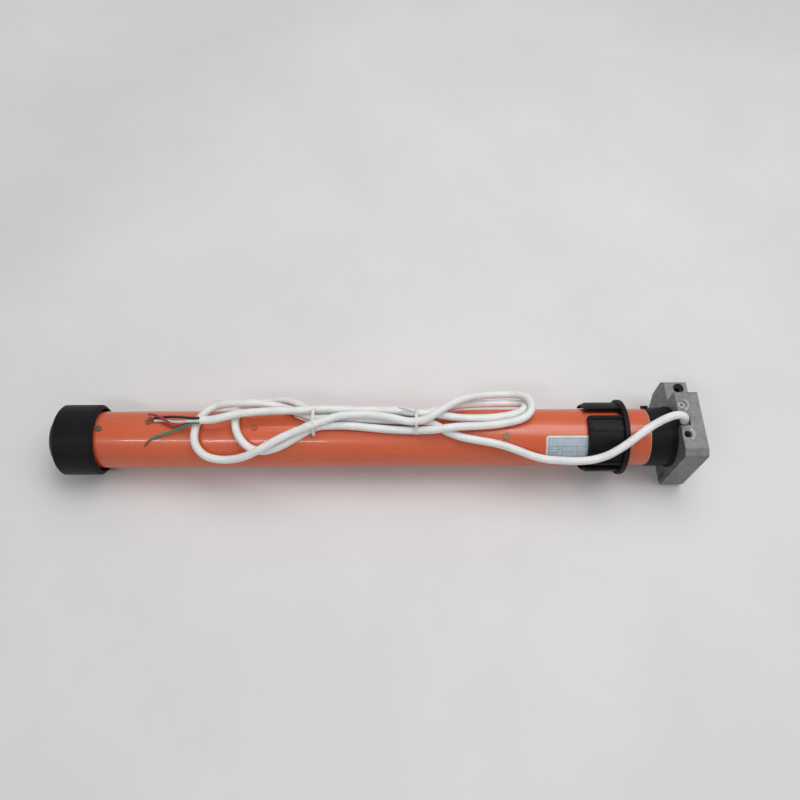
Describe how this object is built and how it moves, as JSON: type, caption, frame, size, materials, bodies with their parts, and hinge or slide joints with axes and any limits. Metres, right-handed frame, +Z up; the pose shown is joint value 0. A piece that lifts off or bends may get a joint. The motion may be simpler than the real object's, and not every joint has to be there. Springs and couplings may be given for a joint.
{
  "type": "awning motor",
  "caption": "Tubular awning motor: orange tube with a cast head, hand-crank socket, limit ring, crown adapter, drive wheel, inner gearbox and a white cable tied in a hank.",
  "frame": {"origin": "tube axis at the outer mounting face of the head", "axes": "+X along the tube from the drive wheel to the head, +Z up out of the head's cable side, +Y towards the crank lug"},
  "size_m": [0.6595, 0.1012, 0.1056],
  "materials": {
    "tube_paint": "satin orange powder coat",
    "black_plastic": "moulded, slight sheen",
    "cast_alloy": "die-cast, grey, satin",
    "steel": "turned",
    "screw_steel": "zinc plated",
    "laminations": "stacked sheet steel",
    "copper": "enamelled wire",
    "bronze": "sintered bronze",
    "capacitor_can": "drawn can",
    "grey_plastic": "moulded",
    "nylon": "moulded",
    "gland_rubber": "soft moulded",
    "cable_sheath": "matte, cool white",
    "tie_nylon": "translucent white",
    "insulation_black": "satin",
    "insulation_white": "satin",
    "insulation_red": "satin",
    "insulation_green": "satin"
  },
  "bodies": {
    "motor_case": {"motor_tube": "tube_paint", "tube_screws": "screw_steel", "head_casting": "cast_alloy", "head_cover": "black_plastic", "head_cover_screws": "screw_steel", "head_spigot": "cast_alloy", "idler_pin": "steel", "limit_frame": "grey_plastic", "microswitches": "black_plastic", "front_bush": "nylon", "cable_gland": "gland_rubber", "cable_lead": "cable_sheath", "cable_hank": "cable_sheath", "cable_ties": "tie_nylon", "core_black": "insulation_black", "core_white": "insulation_white", "core_red": "insulation_red", "core_green": "insulation_green"},
    "crown": {"crown_adapter": "black_plastic"},
    "limit_ring": {"limit_drive_ring": "black_plastic"},
    "spindle_up": {"limit_spindle_up": "steel"},
    "spindle_down": {"limit_spindle_down": "steel"},
    "nut_up": {"limit_nut_up": "nylon"},
    "nut_down": {"limit_nut_down": "nylon"},
    "adjuster_up": {"limit_screw_up": "nylon"},
    "adjuster_down": {"limit_screw_down": "nylon"},
    "crank": {"crank_worm": "steel"},
    "idler": {"override_idler_gear": "steel"},
    "motor_core": {"override_wheel": "steel", "capacitor_holder": "grey_plastic", "capacitor": "capacitor_can", "rear_shield": "cast_alloy", "front_shield": "cast_alloy", "ball_bearings": "steel", "stator_core": "laminations", "stator_windings": "copper", "brake_housing": "steel", "brake_coil": "copper", "ring_gear": "steel", "gearbox_cap": "cast_alloy", "output_bush": "bronze"},
    "rotor": {"rotor_core": "laminations", "rotor_shaft": "steel", "brake_disc": "laminations"},
    "armature": {"brake_armature": "steel"},
    "stage_1_carrier": {"carrier_1": "steel"},
    "stage_2_carrier": {"carrier_2": "steel"},
    "output": {"carrier_3": "steel", "output_shaft": "steel", "drive_wheel": "black_plastic", "shaft_clip": "screw_steel"},
    "stage_1_planet_a": {"planet_1a": "steel"},
    "stage_1_planet_b": {"planet_1b": "steel"},
    "stage_1_planet_c": {"planet_1c": "steel"},
    "stage_2_planet_a": {"planet_2a": "steel"},
    "stage_2_planet_b": {"planet_2b": "steel"},
    "stage_2_planet_c": {"planet_2c": "steel"},
    "stage_3_planet_a": {"planet_3a": "steel"},
    "stage_3_planet_b": {"planet_3b": "steel"},
    "stage_3_planet_c": {"planet_3c": "steel"}
  },
  "joints": [
    {"name": "crown_spin", "type": "hinge", "parent": "motor_case", "child": "crown", "pos_m": [-0.094, 0, 0], "axis": [1, 0, 0], "continuous": true},
    {"name": "limit_ring_turn", "type": "hinge", "parent": "motor_case", "child": "limit_ring", "pos_m": [-0.036, 0, 0], "axis": [1, 0, 0], "range_deg": [-4680, 4680]},
    {"name": "limit_spindle_up_turn", "type": "hinge", "parent": "motor_case", "child": "spindle_up", "pos_m": [-0.06, -0.00998, 0.02005], "axis": [1, 0, 0], "range_deg": [-26530, 26530]},
    {"name": "limit_nut_up_travel", "type": "slide", "parent": "motor_case", "child": "nut_up", "axis": [1, 0, 0], "range_m": [-0.0295, 0.0295]},
    {"name": "limit_spindle_down_turn", "type": "hinge", "parent": "motor_case", "child": "spindle_down", "pos_m": [-0.06, 0.00809, 0.02089], "axis": [1, 0, 0], "range_deg": [-26530, 26530]},
    {"name": "limit_nut_down_travel", "type": "slide", "parent": "motor_case", "child": "nut_down", "axis": [1, 0, 0], "range_m": [-0.0295, 0.0295]},
    {"name": "adjuster_up_turn", "type": "hinge", "parent": "motor_case", "child": "adjuster_up", "pos_m": [-0.018, -0.015, 0.033], "axis": [0, 0, 1], "continuous": true},
    {"name": "adjuster_down_turn", "type": "hinge", "parent": "motor_case", "child": "adjuster_down", "pos_m": [-0.018, 0.018, 0.033], "axis": [0, 0, 1], "continuous": true},
    {"name": "motor_turn", "type": "hinge", "parent": "motor_case", "child": "motor_core", "pos_m": [-0.2, 0, 0], "axis": [1, 0, 0], "continuous": true},
    {"name": "crank_turn", "type": "hinge", "parent": "motor_case", "child": "crank", "pos_m": [-0.00932, 0.0475, 0], "axis": [0, 0, 1], "continuous": true},
    {"name": "idler_turn", "type": "hinge", "parent": "motor_case", "child": "idler", "pos_m": [-0.00932, 0.034, 0], "axis": [1, 0, 0], "continuous": true},
    {"name": "output_turn", "type": "hinge", "parent": "motor_core", "child": "output", "pos_m": [-0.6, 0, 0], "axis": [1, 0, 0], "continuous": true},
    {"name": "rotor_turn", "type": "hinge", "parent": "motor_core", "child": "rotor", "pos_m": [-0.3, 0, 0], "axis": [1, 0, 0], "continuous": true},
    {"name": "stage_1_turn", "type": "hinge", "parent": "motor_core", "child": "stage_1_carrier", "pos_m": [-0.49, 0, 0], "axis": [1, 0, 0], "continuous": true},
    {"name": "stage_2_turn", "type": "hinge", "parent": "motor_core", "child": "stage_2_carrier", "pos_m": [-0.52, 0, 0], "axis": [1, 0, 0], "continuous": true},
    {"name": "brake_release", "type": "slide", "parent": "motor_core", "child": "armature", "axis": [1, 0, 0], "range_m": [0, 0.0005], "stiffness_N_per_m": 2000, "springref_m": -0.002},
    {"name": "planet_1a_turn", "type": "hinge", "parent": "stage_1_carrier", "child": "stage_1_planet_a", "pos_m": [-0.477, 0.0144, 0], "axis": [1, 0, 0], "continuous": true},
    {"name": "planet_1b_turn", "type": "hinge", "parent": "stage_1_carrier", "child": "stage_1_planet_b", "pos_m": [-0.477, -0.0072, 0.01247], "axis": [1, 0, 0], "continuous": true},
    {"name": "planet_1c_turn", "type": "hinge", "parent": "stage_1_carrier", "child": "stage_1_planet_c", "pos_m": [-0.477, -0.0072, -0.01247], "axis": [1, 0, 0], "continuous": true},
    {"name": "planet_2a_turn", "type": "hinge", "parent": "stage_2_carrier", "child": "stage_2_planet_a", "pos_m": [-0.51, 0.0144, 0], "axis": [1, 0, 0], "continuous": true},
    {"name": "planet_2b_turn", "type": "hinge", "parent": "stage_2_carrier", "child": "stage_2_planet_b", "pos_m": [-0.51, -0.0072, 0.01247], "axis": [1, 0, 0], "continuous": true},
    {"name": "planet_2c_turn", "type": "hinge", "parent": "stage_2_carrier", "child": "stage_2_planet_c", "pos_m": [-0.51, -0.0072, -0.01247], "axis": [1, 0, 0], "continuous": true},
    {"name": "planet_3a_turn", "type": "hinge", "parent": "output", "child": "stage_3_planet_a", "pos_m": [-0.553, 0.0144, 0], "axis": [1, 0, 0], "continuous": true},
    {"name": "planet_3b_turn", "type": "hinge", "parent": "output", "child": "stage_3_planet_b", "pos_m": [-0.553, -0.0072, 0.01247], "axis": [1, 0, 0], "continuous": true},
    {"name": "planet_3c_turn", "type": "hinge", "parent": "output", "child": "stage_3_planet_c", "pos_m": [-0.553, -0.0072, -0.01247], "axis": [1, 0, 0], "continuous": true}
  ],
  "couplings": [
    {"joint": "limit_spindle_up_turn", "follows": "limit_ring_turn", "ratio": 5.6667},
    {"joint": "limit_nut_up_travel", "follows": "limit_ring_turn", "m_per_rad": -0.00036075},
    {"joint": "limit_spindle_down_turn", "follows": "limit_ring_turn", "ratio": 5.6667},
    {"joint": "limit_nut_down_travel", "follows": "limit_ring_turn", "m_per_rad": -0.00036075},
    {"joint": "crank_turn", "follows": "motor_turn", "ratio": 50},
    {"joint": "idler_turn", "follows": "motor_turn", "ratio": -2.7778},
    {"joint": "stage_2_turn", "follows": "output_turn", "ratio": 4.8},
    {"joint": "stage_1_turn", "follows": "output_turn", "ratio": 23.04},
    {"joint": "rotor_turn", "follows": "output_turn", "ratio": 110.59},
    {"joint": "planet_1a_turn", "follows": "output_turn", "ratio": -62.537},
    {"joint": "planet_1b_turn", "follows": "output_turn", "ratio": -62.537},
    {"joint": "planet_1c_turn", "follows": "output_turn", "ratio": -62.537},
    {"joint": "planet_2a_turn", "follows": "output_turn", "ratio": -13.029},
    {"joint": "planet_2b_turn", "follows": "output_turn", "ratio": -13.029},
    {"joint": "planet_2c_turn", "follows": "output_turn", "ratio": -13.029},
    {"joint": "planet_3a_turn", "follows": "output_turn", "ratio": -2.7143},
    {"joint": "planet_3b_turn", "follows": "output_turn", "ratio": -2.7143},
    {"joint": "planet_3c_turn", "follows": "output_turn", "ratio": -2.7143}
  ]
}
